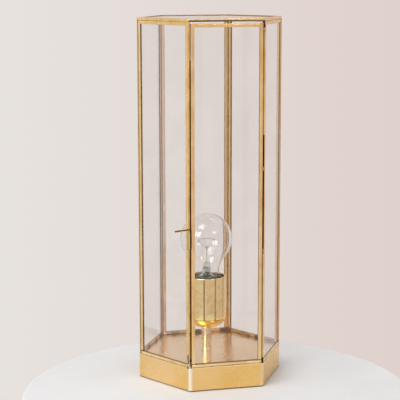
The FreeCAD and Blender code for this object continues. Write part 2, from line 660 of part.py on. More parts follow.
# ---------------------------------------------------------------- bulb
def bulb_outline(skin):
    """Half outline of the bulb's glass, this far inside its surface, from the cap up to the top."""
    # A hollow arc leaves the neck upright at NECK_TOP and meets the globe smoothly.
    rise = BULB_CENTRE - NECK_TOP
    flare = (rise ** 2 - BULB_RADIUS ** 2 + NECK_RADIUS ** 2) / (2 * (BULB_RADIUS - NECK_RADIUS))
    turn = math.degrees(math.atan2(rise, NECK_RADIUS + flare))
    outline = [
        (SEAT_RADIUS - skin, CAP_TOP - SEAT_DEPTH),
        (SEAT_RADIUS - skin, CAP_TOP),
        (NECK_RADIUS - skin, NECK_LOW),
    ]
    outline += arc_points((NECK_RADIUS + flare, NECK_TOP), flare + skin, 180, 180 - turn)
    outline += arc_points((0, BULB_CENTRE), BULB_RADIUS - skin, -turn, 90)[1:-1]
    return outline + [(0, BULB_LENGTH - skin)]


def bulb_glass():
    return turned(bulb_outline(0) + bulb_outline(BULB_SKIN)[::-1], BULB_FOOT)


def bulb_cap():
    """Brass screw cap, plain where its thread is, drawn in at the bottom."""
    skirt_low = CAP_TOP - CAP_SKIRT
    lip = skirt_low - CAP_LIP_DROP
    outline = [
        (CAP_RADIUS, CAP_TOP),
        (CAP_RADIUS, skirt_low),
        (CAP_LIP_RADIUS, lip),
        (CAP_LIP_RADIUS - CAP_WALL, lip),
        (CAP_RADIUS - CAP_WALL, skirt_low),
        (CAP_RADIUS - CAP_WALL, CAP_TOP),
    ]
    return turned(outline, BULB_FOOT)


def cap_insulator():
    lip = CAP_TOP - CAP_SKIRT - CAP_LIP_DROP
    outline = [(0, CONTACT_THICK), (FOOT_RADIUS, CONTACT_THICK), (CAP_LIP_RADIUS, lip), (0, lip)]
    return turned(outline, BULB_FOOT)


def foot_contact():
    """Solder button, narrower where it meets the tongue."""
    tip = CONTACT_RADIUS - CONTACT_BEVEL
    side = [(CONTACT_RADIUS, CONTACT_BEVEL), (CONTACT_RADIUS, CONTACT_THICK)]
    outline = [(0, 0), (tip, 0)] + side + [(0, CONTACT_THICK)]
    return turned(outline, BULB_FOOT)


def glass_stem():
    """Flared glass foot sealed in the neck, its flattened press, and the rod with its button."""
    neck_inside = NECK_RADIUS - BULB_SKIN
    drop = (NECK_LOW - STEM_LOW) / (NECK_LOW - CAP_TOP)
    flare_radius = neck_inside - drop * (NECK_RADIUS - SEAT_RADIUS)
    outline = [
        (flare_radius, STEM_LOW),
        (STEM_TUBE_RADIUS, STEM_TUBE_LOW),
        (STEM_TUBE_RADIUS, PRESS_LOW),
        (0, PRESS_LOW),
        (0, PRESS_LOW - STEM_WALL),
        (STEM_TUBE_RADIUS - STEM_WALL, PRESS_LOW - STEM_WALL),
        (STEM_TUBE_RADIUS - STEM_WALL, STEM_TUBE_LOW - STEM_WALL),
        (flare_radius - 2 * STEM_WALL, STEM_LOW),
    ]
    foot = turned(outline)
    press_corner = Vector(-PRESS_WIDTH / 2, -PRESS_THICK / 2, PRESS_LOW)
    press = Part.makeBox(PRESS_WIDTH, PRESS_THICK, PRESS_HEIGHT, press_corner)
    upright = [edge for edge in press.Edges if edge.BoundBox.ZLength > PRESS_HEIGHT / 2]
    press = press.makeFillet(PRESS_EDGE_RADIUS, upright)
    glass_rod = cylinder(ROD_RADIUS, PRESS_LOW + PRESS_HEIGHT, ROD_TOP)
    ball = arc_points((0, ROD_TOP), BUTTON_RADIUS, -90, 90, SMALL_ARC_STEP)
    ball[0], ball[-1] = (0, ROD_TOP - BUTTON_RADIUS), (0, ROD_TOP + BUTTON_RADIUS)
    button = turned(ball, sides=SMALL_SIDES)
    return foot.fuse([press, glass_rod, button]).removeSplitter().translated(BULB_FOOT)


def fine_wire(start, end, radius):
    """Straight wire, drawn with six flats because it is so fine."""
    length = (end - start).Length
    wire = hexagon(radius * math.cos(HALF_SIDE_ANGLE), 0, length)
    wire.Placement = FreeCAD.Placement(start, FreeCAD.Rotation(Z_AXIS, end - start))
    return wire


def filament_point(angle):
    """Place on the filament's arc, over the bulb's foot. The angle is seen from above, in degrees."""
    turn = math.radians(angle)
    return Vector(math.cos(turn), math.sin(turn), 0) * FILAMENT_ARC_RADIUS + Z_AXIS * FILAMENT_HEIGHT


def filament():
    """Arc of fine wire, level, open towards the door, with four flats."""
    start = filament_point(FRONT + FILAMENT_GAP_ANGLE / 2)
    out = Vector(start.x, start.y, 0).normalize() * FILAMENT_RADIUS
    up = Z_AXIS * FILAMENT_RADIUS
    corners = [start + out, start + up, start - out, start - up]
    face = Part.Face(Part.makePolygon(corners + corners[:1]))
    return face.revolve(ORIGIN, Z_AXIS, 360 - FILAMENT_GAP_ANGLE).translated(BULB_FOOT)


def wire_between(start, end, radius):
    """Fine wire from the stem to the filament, less its ends inside them."""
    wire = fine_wire(start, end, radius).translated(BULB_FOOT).cut([glass_stem(), filament()])
    return max(wire.Solids, key=lambda solid: solid.Volume)


def lead_wires():
    """The two wires that carry the filament's ends, from the glass press."""
    wires = []
    for side in (-1, 1):
        start = Vector(side * LEAD_SPACING / 2, 0, PRESS_LOW + PRESS_HEIGHT / 2)
        end = filament_point(FRONT + side * FILAMENT_GAP_ANGLE / 2)
        wires.append(wire_between(start, end, LEAD_RADIUS))
    return Part.makeCompound(wires)


def support_wires():
    """Fine wires from the glass button out to the filament."""
    span = 360 - FILAMENT_GAP_ANGLE
    wires = []
    for i in range(SUPPORT_COUNT):
        end = filament_point(FRONT + FILAMENT_GAP_ANGLE / 2 + span * (i + 0.5) / SUPPORT_COUNT)
        wires.append(wire_between(Z_AXIS * ROD_TOP, end, SUPPORT_RADIUS))
    return Part.makeCompound(wires)


# ---------------------------------------------------------------- every sub-part
def sub_parts():
    """Name and shape of each sub-part, from the table up."""
    yield "felt_pad", felt_pad()
    yield "bottom_cover", bottom_cover()
    yield "cover_screws", cover_screws()
    yield "cover_pillars", cover_pillars()
    yield "base_wall", base_wall()
    yield "floor_plate", floor_plate()
    yield "cable_grommet", cable_grommet()
    for heading, name in SIDE_NAMES.items():
        yield "frame_" + name, on_side(came_frame(FRAME_WIDTH, FRAME_HEIGHT), heading)
        yield "glass_" + name, on_side(pane(FRAME_WIDTH, FRAME_HEIGHT), heading)
    yield "corner_solder", corner_solder()
    yield "top_frame", top_frame()
    yield "top_glass", top_glass()
    yield "door_stop", door_stop()
    yield "hinge_pin", hinge_pin()
    yield "hinge_knuckles", hinge_knuckles()
    yield "latch_tube", latch_tube()
    yield "lamp_post", lamp_post()
    yield "threaded_tube", threaded_tube()
    yield "post_washer", post_washer()
    yield "post_nut", post_nut()
    yield "holder_cup", holder_cup()
    yield "holder_foot", holder_foot()
    yield "holder_sleeve", holder_sleeve()
    yield "contact_carrier", contact_carrier()
    yield "terminal_screws", terminal_screws()
    yield "screw_shell", screw_shell()
    yield "contact_tongue", contact_tongue()
    door_height = DOOR_TOP - DOOR_BOTTOM
    yield "door_frame", on_door(came_frame(DOOR_WIDTH, door_height))
    yield "door_glass", on_door(pane(DOOR_WIDTH, door_height))
    yield "hinge_barrel_lower", hinge_barrel(LOWER_BARREL_LOW, LOWER_BARREL_TOP)
    yield "hinge_barrel_upper", hinge_barrel(UPPER_BARREL_LOW, UPPER_BARREL_TOP)
    yield "latch_hook", latch_hook()
    yield "bulb_glass", bulb_glass()
    yield "bulb_cap", bulb_cap()
    yield "cap_insulator", cap_insulator()
    yield "foot_contact", foot_contact()
    yield "glass_stem", glass_stem()
    yield "lead_wires", lead_wires()
    yield "support_wires", support_wires()
    yield "filament", filament()


os.makedirs("parts", exist_ok=True)
for part_name, part_shape in sub_parts():
    save(part_name, part_shape)
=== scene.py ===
"""Looks of the hexagonal lantern lamp: procedural brass, glass and felt, and the smooth turned, bent and coiled
pieces that stand for the plain ones. Metres, in the part's own frame."""
import math

import bmesh
import bpy
from mathutils import Matrix, Quaternion, Vector, noise


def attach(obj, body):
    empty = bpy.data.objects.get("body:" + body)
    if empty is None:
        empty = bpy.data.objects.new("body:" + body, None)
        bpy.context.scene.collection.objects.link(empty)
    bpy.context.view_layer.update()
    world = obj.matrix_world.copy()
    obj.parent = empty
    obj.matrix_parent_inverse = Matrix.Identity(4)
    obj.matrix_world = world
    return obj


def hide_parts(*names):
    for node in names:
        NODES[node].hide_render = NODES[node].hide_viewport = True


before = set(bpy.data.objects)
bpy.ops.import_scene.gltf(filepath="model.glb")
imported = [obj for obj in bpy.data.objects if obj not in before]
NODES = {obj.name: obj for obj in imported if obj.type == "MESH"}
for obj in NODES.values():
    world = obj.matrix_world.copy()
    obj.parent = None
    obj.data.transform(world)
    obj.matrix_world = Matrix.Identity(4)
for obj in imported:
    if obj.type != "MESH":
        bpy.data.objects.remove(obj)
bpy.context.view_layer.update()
MM = 0.001
UP, RIGHT, FRONT = Vector((0, 0, 1)), Vector((1, 0, 0)), Vector((0, -1, 0))


# ---------------------------------------------------------------- small helpers
def srgb(r, g, b):
    """Linear colour of an 8-bit one."""
    def channel(v):
        v /= 255
        return v / 12.92 if v <= 0.04045 else ((v + 0.055) / 1.055) ** 2.4
    return channel(r), channel(g), channel(b), 1.0


class Tree:
    """Short way to write a material's nodes."""

    def __init__(self, name, kind="material"):
        if kind == "world":
            self.data = bpy.data.worlds.new(name)
        else:
            self.data = bpy.data.materials.new(name)
        self.data.use_nodes = True
        self.tree = self.data.node_tree
        self.tree.nodes.clear()

    def add(self, kind, inputs=None, **settings):
        node = self.tree.nodes.new("ShaderNode" + kind)
        for key, value in settings.items():
            setattr(node, key, value)
        for key, value in (inputs or {}).items():
            self.set(node, key, value)
        return node

    def set(self, node, key, value):
        socket = node.inputs[key]
        if isinstance(value, bpy.types.NodeSocket):
            self.tree.links.new(value, socket)
        elif isinstance(value, bpy.types.Node):
            self.tree.links.new(value.outputs[0], socket)
        else:
            socket.default_value = value

    def coords(self, scale=(1, 1, 1)):
        place = self.add("TexCoord")
        return self.add("Mapping", {"Vector": place.outputs["Object"], "Scale": scale}).outputs[0]

    def noise(self, scale, detail=3.0, rough=0.5, vector=None, distortion=0.0):
        if vector is None:
            vector = self.coords()
        node = self.add("TexNoise", {"Vector": vector, "Scale": scale, "Detail": detail, "Roughness": rough,
                                     "Distortion": distortion})
        return node.outputs["Fac"]

    def span(self, value, low, high, to_low=0.0, to_high=1.0):
        node = self.add("MapRange", {"Value": value, "From Min": low, "From Max": high, "To Min": to_low,
                                     "To Max": to_high}, clamp=True)
        return node.outputs[0]

    def math(self, operation, a, b=0.5, c=None):
        node = self.add("Math", {0: a, 1: b}, operation=operation)
        if c is not None:
            self.set(node, 2, c)
        return node.outputs[0]

    def mix(self, factor, a, b, blend="MIX"):
        node = self.add("Mix", data_type="RGBA", blend_type=blend)
        self.set(node, 0, factor)
        self.set(node, 6, a)
        self.set(node, 7, b)
        return node.outputs[2]

    def output(self, shader, kind="Material"):
        out = self.add("Output" + kind)
        self.set(out, "Surface", shader)
        return self.data


def give(material, *names):
    """Every named node or piece gets this one material."""
    for name in names:
        data = (NODES.get(name) or bpy.data.objects[name]).data
        data.materials.clear()
        data.materials.append(material)


# ---------------------------------------------------------------- metals
def heading_vector(degrees):
    """Level direction, counted from +X towards +Y."""
    return Vector((math.cos(math.radians(degrees)), math.sin(math.radians(degrees)), 0))


def brass(name, colour, shade, roughness, cloud_scale=30.0, specks=0.25, speck_colour=None, brush=(40, 40, 900),
          brush_depth=0.02, bump=0.05, crevice_grime_and_shade=0.0, rough_spread=0.08, patches=None, round_edge=0.0, stretch=0.0):
    """Aged or polished brass: clouds of tone, fine brushing, specks of tarnish, and crevices darkened by ambient
    occlusion, partly grime and partly painted shade.
    """
    m = Tree(name)
    clouds = m.span(m.noise(cloud_scale, 4, 0.6), 0.38, 0.66)
    tone = m.mix(clouds, colour, shade)
    fine = m.noise(1.0, 2, 0.5, m.coords(brush))
    tone = m.mix(m.span(fine, 0.35, 0.75, 0.0, 0.35), tone, shade)
    speck = m.span(m.noise(420.0, 5, 0.75), 0.62, 0.72, 0.0, specks)
    tone = m.mix(speck, tone, speck_colour or srgb(96, 74, 38))
    if patches:
        tone = patches(m, tone)
    if crevice_grime_and_shade:
        # Grime and painted shade: darker where ambient occlusion finds crevices.
        occlusion = m.add("AmbientOcclusion", {"Distance": 1.6 * MM}, samples=6)
        dark = m.span(occlusion.outputs["AO"], 0.25, 0.85, crevice_grime_and_shade, 0.0)
        tone = m.mix(dark, tone, srgb(58, 42, 18))
    worn = m.span(m.noise(cloud_scale * 2.3, 4, 0.6), 0.35, 0.7, -rough_spread, rough_spread)
    rough = m.math("ADD", m.math("MULTIPLY_ADD", fine, 0.06, roughness - 0.03), worn)
    rough = m.math("MULTIPLY_ADD", speck, 0.35, rough)
    height = m.math("ADD", m.math("MULTIPLY", fine, brush_depth), m.math("MULTIPLY", m.noise(160.0, 3), bump))
    bumped = m.add("Bump", {"Height": height, "Strength": 0.35, "Distance": 1.2 * MM})
    if round_edge:
        m.set(bumped, "Normal", m.add("Bevel", {"Radius": round_edge * MM}, samples=6))
    shader = m.add("BsdfPrincipled", {"Base Color": tone, "Metallic": 1.0, "Roughness": rough, "Normal": bumped})
    if stretch:
        m.set(shader, "Anisotropic", stretch)
        m.set(shader, "Anisotropic Rotation", 0.25)
        m.set(shader, "Tangent", m.add("Tangent", direction_type="RADIAL", axis="Z"))
    return m.output(shader)


def plain_metal(name, colour, roughness, scale=300.0):
    """Clean metal with a faint mottle."""
    m = Tree(name)
    tone = m.mix(m.span(m.noise(scale, 4), 0.4, 0.7), colour, tuple(c * 0.7 for c in colour[:3]) + (1,))
    rough = m.span(m.noise(scale * 2, 3), 0.3, 0.7, roughness - 0.06, roughness + 0.08)
    bumped = m.add("Bump", {"Height": m.noise(scale * 3, 2), "Strength": 0.1, "Distance": 0.1 * MM})
    shader = m.add("BsdfPrincipled", {"Base Color": tone, "Metallic": 1.0, "Roughness": rough, "Normal": bumped})
    return m.output(shader)


def dot(m, vector, direction):
    return m.add("VectorMath", {0: vector, 1: direction}, operation="DOT_PRODUCT").outputs["Value"]


def layout(m):
    """A point's place on the lantern, its face's normal, and its level place and direction from the axis."""
    coords = m.add("TexCoord").outputs
    level = m.add("VectorMath", {0: coords["Object"], 1: (1, 1, 0)}, operation="MULTIPLY").outputs[0]
    outwards = m.add("VectorMath", {0: level}, operation="NORMALIZE").outputs[0]
    return coords["Object"], coords["Normal"], level, outwards


def base_painted_light(m, tone):
    """The bends carry a painted highlight, strongest at the front left, and so does the top edge. The lower edge is
    darker with painted shade, and the front left wall a little rosier with a painted reflection."""
    place, _, level, outwards = layout(m)
    reach = m.add("VectorMath", {0: level}, operation="LENGTH").outputs["Value"]
    # Painted highlight on the bends, uneven along them and strongest at the front left bend.
    bend = m.span(reach, 84.9 * MM, 85.8 * MM)
    uneven = m.span(m.noise(60.0, 3), 0.3, 0.6, 0.7, 1.0)
    front = m.span(dot(m, outwards, heading_vector(240)), 0.9, 0.99, 0.3, 1.0)
    tone = m.mix(m.math("MULTIPLY", m.math("MULTIPLY", bend, uneven), front), tone, srgb(255, 249, 232))
    height = dot(m, place, UP)
    # Painted shade along the lower edge, then a painted highlight line along the top edge.
    tone = m.mix(m.span(height, 2.4 * MM, 1.2 * MM, 0.0, 0.5), tone, srgb(120, 88, 48))
    tone = m.mix(m.span(height, 26.6 * MM, 27.6 * MM, 0.0, 0.55), tone, srgb(255, 240, 206))
    # Painted reflection: the front left wall a little rosier.
    rosy_reflection = m.span(dot(m, outwards, heading_vector(205)), 0.9, 0.99, 0.0, 0.5)
    return m.mix(rosy_reflection, tone, srgb(250, 214, 164))


def came_streaks_and_painted_shade(m, tone):
    """Streaks along the channel; inner faces darker with painted shade and greyer at the back left with a painted
    reflection;
    painted shade in the open corners' ends; darker patches on the inner faces at the foot; and painted shade lines
    above the bottom bars and along the front of the top frame."""
    place, normal, _, outwards = layout(m)
    facing = dot(m, outwards, normal)
    height = dot(m, place, UP)
    streak = m.span(m.noise(1.0, 3, 0.6, m.coords((1500, 1500, 16))), 0.54, 0.68, 0.0, 0.42)
    tone = m.mix(streak, tone, srgb(150, 114, 60))
    # Painted shade on the inner faces, with a greyer painted reflection at the back left.
    inside = m.span(facing, -0.15, -0.35)
    back_left_reflection = m.span(dot(m, outwards, heading_vector(140)), 0.45, 0.85)
    inner_shade_and_reflection = m.mix(back_left_reflection, srgb(216, 182, 126), srgb(230, 216, 208))
    tone = m.mix(m.math("MULTIPLY", inside, 0.8), tone, inner_shade_and_reflection)
    # Painted shade in the gaps at the open corners' ends: near black on the hinge side, brown low down and pale higher
    # up on the latch side.
    ends = m.math("MINIMUM", m.span(facing, 0.2, 0.32), m.span(facing, 0.72, 0.6))
    hinge_side = m.span(dot(m, place, RIGHT), 10 * MM, 30 * MM)
    low = m.span(height, 270 * MM, 230 * MM)
    gap_shade = m.mix(hinge_side, m.mix(low, srgb(250, 206, 130), srgb(186, 124, 50)), srgb(36, 22, 6))
    tone = m.mix(m.math("MULTIPLY", ends, 0.92), tone, gap_shade)
    # Inner faces darker in patches at the foot.
    patchiness = m.span(m.noise(90.0, 3, 0.6), 0.48, 0.56, 0.1, 0.85)
    foot = m.math("MULTIPLY", m.math("MULTIPLY", inside, m.span(height, 34 * MM, 31 * MM)), patchiness)
    tone = m.mix(foot, tone, srgb(92, 70, 52))
    # Painted shade: a dark line on the outer faces just above the bottom bars.
    lip = m.math("MINIMUM", m.span(height, 31.4 * MM, 31.8 * MM), m.span(height, 33.2 * MM, 32.8 * MM))
    lip = m.math("MULTIPLY", lip, m.span(facing, 0.75, 0.82, 0.0, 0.8))
    tone = m.mix(lip, tone, srgb(70, 48, 20))
    # Painted shade line under the front of the top frame, stronger at the left.
    under_shade = m.math("MINIMUM", m.span(height, 416.3 * MM, 416.6 * MM), m.span(height, 418.4 * MM, 417.9 * MM))
    front = m.span(dot(m, place, FRONT), 73.9 * MM, 74.3 * MM)
    left = m.span(dot(m, place, RIGHT), -5 * MM, 40 * MM, 0.97, 0.6)
    return m.mix(m.math("MULTIPLY", m.math("MULTIPLY", under_shade, front), left), tone, srgb(34, 24, 8))


def latch_painted_shade(m, tone):
    """Painted shade on the underside, on the side towards the door and on the side away from it."""
    normal = m.add("TexCoord").outputs["Normal"]
    under_shade = m.span(dot(m, normal, -UP), 0.5, 0.75)
    door_side = m.span(dot(m, normal, heading_vector(325)), 0.5, 0.75)
    far_side = m.span(dot(m, normal, heading_vector(182)), 0.62, 0.82)
    dark = m.math("MAXIMUM", m.math("MAXIMUM", under_shade, door_side), far_side)
    return m.mix(m.math("MULTIPLY", dark, 0.93), tone, srgb(36, 28, 12))


def knuckle_painted_shade(m, tone):
    """Painted shade, near black, at the lowest and highest knuckle."""
    height = dot(m, m.add("TexCoord").outputs["Object"], UP)
    dark = m.math("MAXIMUM", m.span(height, 38 * MM, 36 * MM), m.span(height, 409.4 * MM, 410.2 * MM))
    return m.mix(m.math("MULTIPLY", dark, 0.92), tone, srgb(30, 20, 8))


def cup_mottle_and_reflection(m, tone):
    """Mottled lacquer, and a yellower painted reflection of the brass floor on the round bottom."""
    mottle = m.span(m.noise(190.0, 5, 0.7), 0.45, 0.62, 0.0, 0.3)
    tone = m.mix(mottle, tone, srgb(196, 160, 92))
    # Painted reflection of the brass floor: yellower on the round bottom.
    height = dot(m, m.add("TexCoord").outputs["Object"], UP)
    return m.mix(m.span(height, 72 * MM, 67 * MM, 0.0, 0.9), tone, srgb(255, 226, 112))


satin_brass = brass("satin_brass", srgb(247, 208, 142), srgb(238, 196, 116), 0.27, cloud_scale=11, specks=0.0,
                    brush=(6, 6, 520), brush_depth=0.02, bump=0.002, rough_spread=0.05, patches=base_painted_light,
                    round_edge=0.5, stretch=0.7)
floor_brass = brass("floor_brass", srgb(244, 216, 180), srgb(232, 202, 160), 0.24, cloud_scale=14, specks=0.06,
                    brush=(700, 8, 8), brush_depth=0.003, bump=0.003, rough_spread=0.05)
cup_brass = brass("cup_brass", srgb(242, 222, 170), srgb(234, 208, 144), 0.11, cloud_scale=40, specks=0.08,
                  brush=(12, 12, 1500), brush_depth=0.003, bump=0.004, rough_spread=0.03, patches=cup_mottle_and_reflection)
post_brass = brass("post_brass", srgb(246, 234, 204), srgb(240, 224, 184), 0.26, cloud_scale=60, specks=0.02,
                   brush=(20, 20, 1500), brush_depth=0.0, bump=0.0, rough_spread=0.02)
came_brass = brass("came_brass", srgb(255, 228, 174), srgb(240, 200, 132), 0.2, cloud_scale=45, specks=0.18,
                   brush=(300, 300, 10), brush_depth=0.02, bump=0.03, crevice_grime_and_shade=0.75, rough_spread=0.07,
                   patches=came_streaks_and_painted_shade, round_edge=1.4)
aged_brass = brass("aged_brass", srgb(238, 206, 146), srgb(206, 168, 106), 0.26, cloud_scale=60, specks=0.25,
                   brush=(500, 500, 40), brush_depth=0.05, bump=0.12, crevice_grime_and_shade=0.85)
knuckle_brass = brass("knuckle_brass", srgb(226, 186, 138), srgb(176, 136, 92), 0.3, cloud_scale=120, specks=0.5,
                      brush=(500, 500, 40), brush_depth=0.05, bump=0.12, patches=knuckle_painted_shade)
dark_brass = brass("dark_brass", srgb(74, 54, 26), srgb(36, 24, 10), 0.4, cloud_scale=150, specks=0.3,
                   brush=(500, 500, 40), brush_depth=0.05, bump=0.1)
latch_brass = brass("latch_brass", srgb(255, 230, 158), srgb(248, 216, 140), 0.22, cloud_scale=120, specks=0.2,
                    brush=(300, 300, 300), brush_depth=0.02, bump=0.04, patches=latch_painted_shade)
solder = brass("solder", srgb(240, 228, 204), srgb(170, 156, 130), 0.28, cloud_scale=260, specks=0.5,
               speck_colour=srgb(60, 50, 40), brush=(300, 300, 300), brush_depth=0.2, bump=0.4, crevice_grime_and_shade=0.6)
run_brass = brass("run_brass", srgb(244, 206, 140), srgb(206, 160, 92), 0.3, cloud_scale=50, specks=0.3,
                  brush=(600, 600, 20), brush_depth=0.03, bump=0.05)
steel = plain_metal("steel", srgb(176, 176, 178), 0.35)
nickel = plain_metal("nickel", srgb(196, 190, 180), 0.22)
lead_metal = plain_metal("lead_metal", srgb(240, 238, 234), 0.4)
tungsten = plain_metal("tungsten", srgb(150, 146, 144), 0.4, 2000.0)


# ---------------------------------------------------------------- glass, plastic, ceramic, rubber, felt
def glass(name, tint, ior, wave, wave_scale, smudge=0.0):
    """Clear glass with a slow wave and a breath of dust, which lets light through to what is behind it."""
    m = Tree(name)
    tone = m.mix(m.span(m.noise(25.0, 3), 0.4, 0.7), tint, tuple(c * 0.985 for c in tint[:3]) + (1,))
    bumped = m.add("Bump", {"Height": m.noise(wave_scale, 2), "Strength": 1.0, "Distance": wave * MM})
    clear = m.add("BsdfGlass", {"Color": tone, "Roughness": 0.0, "IOR": ior, "Normal": bumped})
    rays = m.add("LightPath")
    through = m.add("BsdfTransparent", {"Color": tone})
    surface = m.add("MixShader", {0: rays.outputs["Is Shadow Ray"], 1: clear, 2: through})
    if smudge:
        dust = m.add("BsdfDiffuse", {"Color": srgb(225, 222, 218), "Roughness": 1.0})
        amount = m.span(m.noise(60.0, 6, 0.7), 0.45, 0.8, smudge * 0.3, smudge)
        surface = m.add("MixShader", {0: amount, 1: surface, 2: dust})
    return m.output(surface)


def moulded(name, colour, roughness, grain=500.0, coat=0.0):
    """Plastic, rubber, ceramic or black glass with a fine grain."""
    m = Tree(name)
    tone = m.mix(m.span(m.noise(grain * 0.3, 4), 0.35, 0.7), colour, tuple(c * 0.75 for c in colour[:3]) + (1,))
    rough = m.span(m.noise(grain, 4), 0.3, 0.7, roughness - 0.05, roughness + 0.08)
    bumped = m.add("Bump", {"Height": m.noise(grain * 2, 3), "Strength": 0.15, "Distance": 0.15 * MM})
    shader = m.add("BsdfPrincipled", {"Base Color": tone, "Roughness": rough, "Normal": bumped, "Coat Weight": coat})
    return m.output(shader)


pane_glass = glass("pane_glass", srgb(254, 254, 254), ior=1.38, smudge=0.012, wave=0.03, wave_scale=7)
clear_bulb = glass("clear_bulb", srgb(254, 254, 254), ior=1.45, wave=0.008, wave_scale=14)
stem_glass = glass("stem_glass", srgb(242, 245, 244), ior=1.47, wave=0.05, wave_scale=200)
bakelite = moulded("bakelite", srgb(34, 28, 25), 0.3)
ceramic = moulded("ceramic", srgb(226, 222, 210), 0.2, coat=0.3)
black_glass = moulded("black_glass", srgb(22, 22, 24), 0.12, coat=0.5)
rubber = moulded("rubber", srgb(44, 43, 42), 0.6, 900.0)


def felt_material():
    m = Tree("felt")
    fibres = m.noise(1500.0, 6, 0.8, distortion=1.5)
    tone = m.mix(m.span(fibres, 0.35, 0.65), srgb(34, 33, 32), srgb(66, 64, 61))
    height = m.math("ADD", fibres, m.noise(500.0, 4, 0.8))
    bumped = m.add("Bump", {"Height": height, "Strength": 0.8, "Distance": 0.5 * MM})
    rough = m.span(fibres, 0.3, 0.7, 0.85, 1.0)
    shader = m.add("BsdfPrincipled", {"Base Color": tone, "Roughness": rough, "Normal": bumped, "Sheen Weight": 0.4})
    return m.output(shader)


felt = felt_material()


# ---------------------------------------------------------------- pieces made here
def new_piece(name, mesh, body, slot, material, *replaced):
    """A piece that rides on the body and stands for the CAD nodes it replaces."""
    piece = bpy.data.objects.new(name, mesh)
    bpy.context.scene.collection.objects.link(piece)
    mesh.materials.append(material)
    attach(piece, body)
    if replaced:
        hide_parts(*replaced)


def smooth(mesh, angle=35.0):
    """Round faces shade smoothly, and edges sharper than the angle stay crisp."""
    for face in mesh.polygons:
        face.use_smooth = True
    mesh.set_sharp_from_angle(angle=math.radians(angle))
    return mesh


def to_mesh(name, bm, angle=35.0):
    bmesh.ops.recalc_face_normals(bm, faces=bm.faces)
    mesh = bpy.data.meshes.new(name)
    bm.to_mesh(mesh)
    bm.free()
    return smooth(mesh, angle)


def lathe(name, outline, centre, sides=96, angle=35.0, matrix=None):
    """Turned mesh, from a closed outline of (radius, height) in mm round an upright axis."""
    bm = bmesh.new()
    rings = []
    for radius, height in outline:
        if radius < 1e-6:
            rings.append([bm.verts.new((0, 0, height * MM))])
            continue
        turn = [2 * math.pi * i / sides for i in range(sides)]
        rings.append([bm.verts.new((radius * MM * math.cos(a), radius * MM * math.sin(a), height * MM)) for a in turn])
    for low, high in zip(rings, rings[1:] + rings[:1]):
        if len(low) == len(high) == 1:
            continue
        for i in range(sides):
            j = (i + 1) % sides
            corners = [low[i % len(low)], low[j % len(low)], high[j % len(high)], high[i % len(high)]]
            bm.faces.new(list(dict.fromkeys(corners)))
    bmesh.ops.transform(bm, matrix=matrix or Matrix.Translation(Vector(centre) * MM), verts=bm.verts)
    return to_mesh(name, bm, angle)


def arc(centre, radius, start, end, steps):
    """Points on an arc, from one angle to another in degrees."""
    turn = [math.radians(start + (end - start) * i / steps) for i in range(steps + 1)]
    return [(centre[0] + radius * math.cos(a), centre[1] + radius * math.sin(a)) for a in turn]


def wire(name, points, radius, resolution=8):
    """Round wire along points in mm, as a mesh."""
    curve = bpy.data.curves.new(name, "CURVE")
    curve.dimensions = "3D"
    curve.bevel_depth = radius * MM
    curve.bevel_resolution = resolution // 2
    curve.use_fill_caps = True
    spline = curve.splines.new("POLY")
    spline.points.add(len(points) - 1)
    for point, place in zip(spline.points, points):
        point.co = (*(part * MM for part in place), 1)
    holder = bpy.data.objects.new(name, curve)
    mesh = bpy.data.meshes.new_from_object(holder)
    bpy.data.objects.remove(holder)
    bpy.data.curves.remove(curve)
    mesh.name = name
    return smooth(mesh, 60)


def joined(name, meshes, angle=40.0):
    """Several meshes as one."""
    bm = bmesh.new()
    for mesh in meshes:
        bm.from_mesh(mesh)
    return to_mesh(name, bm, angle)


LAMP = (-4.5, 0, 0)  # foot of the post's axis
BULB = (-4.5, 0, 86.6)  # the bulb's foot
HOLE_R = 5.15  # through cup and post, for the threaded tube

# The cup, with its rolled rim and drawn bottom.
CUP_LOW, CUP_TOP, CUP_R, CUP_WALL = 56.6, 117.6, 22.5, 0.9
CUP_BEND, CUP_RIM = 13.5, 0.9  # radius of the drawn bottom's bend and of the rolled rim
bend_at = (CUP_R - CUP_BEND, CUP_LOW + CUP_BEND)
cup_outline = [(HOLE_R, CUP_LOW)]
cup_outline += arc(bend_at, CUP_BEND, -90, 0, 18)
cup_outline += arc((CUP_R - CUP_RIM, CUP_TOP - CUP_RIM), CUP_RIM, 0, 180, 10)
cup_outline += [(CUP_R - CUP_WALL, CUP_TOP - 0.95)]
cup_outline += arc(bend_at, CUP_BEND - CUP_WALL, 0, -90, 18)
cup_outline += [(HOLE_R, CUP_LOW + CUP_WALL)]
new_piece("cup_spun", lathe("cup_spun", cup_outline, LAMP, 128), "lantern", "polished_brass", cup_brass, "holder_cup")

# The post, with a small turned collar at each end inside its own outline.
POST_LOW, POST_R, POST_WAIST = 28, 6.0, 5.8
post_outline = [(HOLE_R, POST_LOW), (POST_R, POST_LOW), (POST_R, 29.2), (POST_WAIST, 29.6), (POST_WAIST, 54.8),
                (POST_R, 55.2), (POST_R, CUP_LOW), (HOLE_R, CUP_LOW)]
new_piece("post_turned", lathe("post_turned", post_outline, LAMP, 64, 20), "lantern", "polished_brass", post_brass,
          "lamp_post")

# The lampholder's sleeve and foot, moulded with softened edges.
sleeve_outline = [(14.2, 75.5), (18.2, 75.5), (18.5, 75.9), (18.5, 109.5)]
sleeve_outline += arc((16.9, 109.9), 1.6, 0, 90, 6) + [(14.8, 111.5), (14.2, 110.9)]
new_piece("sleeve_moulded", lathe("sleeve_moulded", sleeve_outline, LAMP, 96, 30), "lantern", "bakelite", bakelite,
          "holder_sleeve")
foot_outline = [(5.0, 57.5), (8.4, 57.5), (18.5, 65.5), (18.5, 75.2), (18.2, 75.5), (12.0, 75.5), (12.0, 65.5),
                (5.0, 65.5)]
new_piece("foot_moulded", lathe("foot_moulded", foot_outline, LAMP, 96, 30), "lantern", "bakelite", bakelite,
          "holder_foot")


